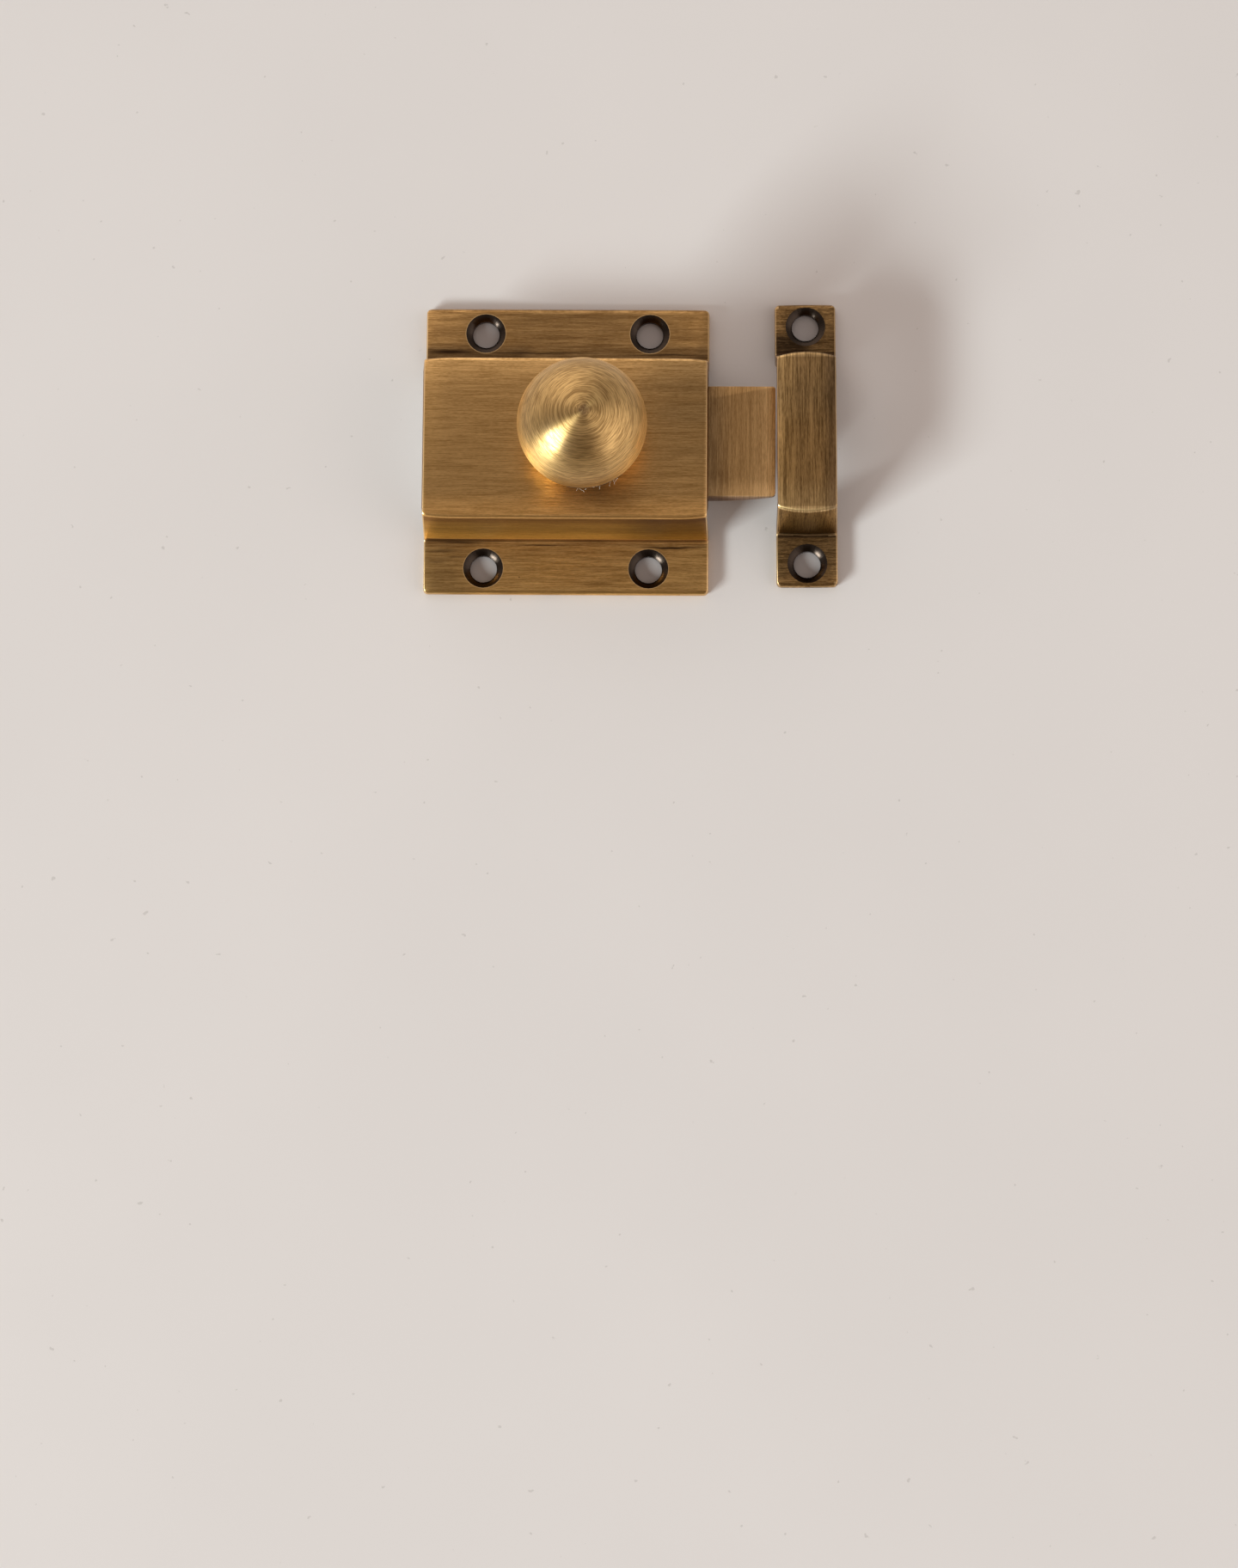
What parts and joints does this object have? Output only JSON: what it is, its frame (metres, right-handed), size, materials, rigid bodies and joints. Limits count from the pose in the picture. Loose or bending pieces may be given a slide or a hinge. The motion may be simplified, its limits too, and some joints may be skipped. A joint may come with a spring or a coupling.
{
  "type": "cabinet door latch",
  "caption": "Square surface latch for a cabinet door: a ball knob draws a sprung bolt back out of a loose bridge keeper.",
  "frame": {"origin": "centre of the case's back, in the plane that lies against the door", "axes": "+Z out of the door through the knob, +X along the bolt towards its tip, +Y across the bolt"},
  "size_m": [0.0738, 0.0529, 0.036],
  "materials": {
    "antique_brass": "brushed and darkened, with bright rubbed edges",
    "aged_brass": "brushed, darker than the case",
    "knob_brass": "turned satin, rings about the axis",
    "bolt_brass": "brushed across the bolt",
    "plain_brass": "plain turned",
    "bright_steel": "plain turned",
    "zinc_steel": "dull zinc plate",
    "spring_steel": "drawn wire"
  },
  "bodies": {
    "housing": {"case": "antique_brass", "back_plate": "zinc_steel", "post_front": "plain_brass", "post_north": "plain_brass", "post_south": "plain_brass", "plate_screw_front": "bright_steel", "plate_screw_north": "bright_steel", "plate_screw_south": "bright_steel", "bush": "plain_brass", "spring_pin": "bright_steel", "bolt_spring": "spring_steel", "keeper": "aged_brass"},
    "knob_assembly": {"knob": "knob_brass", "knob_washer": "antique_brass", "spindle": "bright_steel", "follower": "bright_steel", "crank_pin": "bright_steel", "follower_washer": "bright_steel", "follower_screw": "bright_steel"},
    "bolt_slide": {"bolt": "bolt_brass"}
  },
  "joints": [
    {"name": "knob_turn", "type": "hinge", "parent": "housing", "child": "knob_assembly", "pos_m": [0.00325, 0, 0.013], "axis": [0, 0, -1], "range_deg": [0, 86], "stiffness_Nm_per_rad": 0.01, "springref_deg": -40.11},
    {"name": "bolt_draw", "type": "slide", "parent": "housing", "child": "bolt_slide", "axis": [-1, 0, 0], "range_m": [0, 0.0085], "deforming": ["bolt_spring"]}
  ],
  "couplings": [
    {"joint": "bolt_draw", "follows": "knob_turn", "m_per_rad": 0.00563}
  ]
}
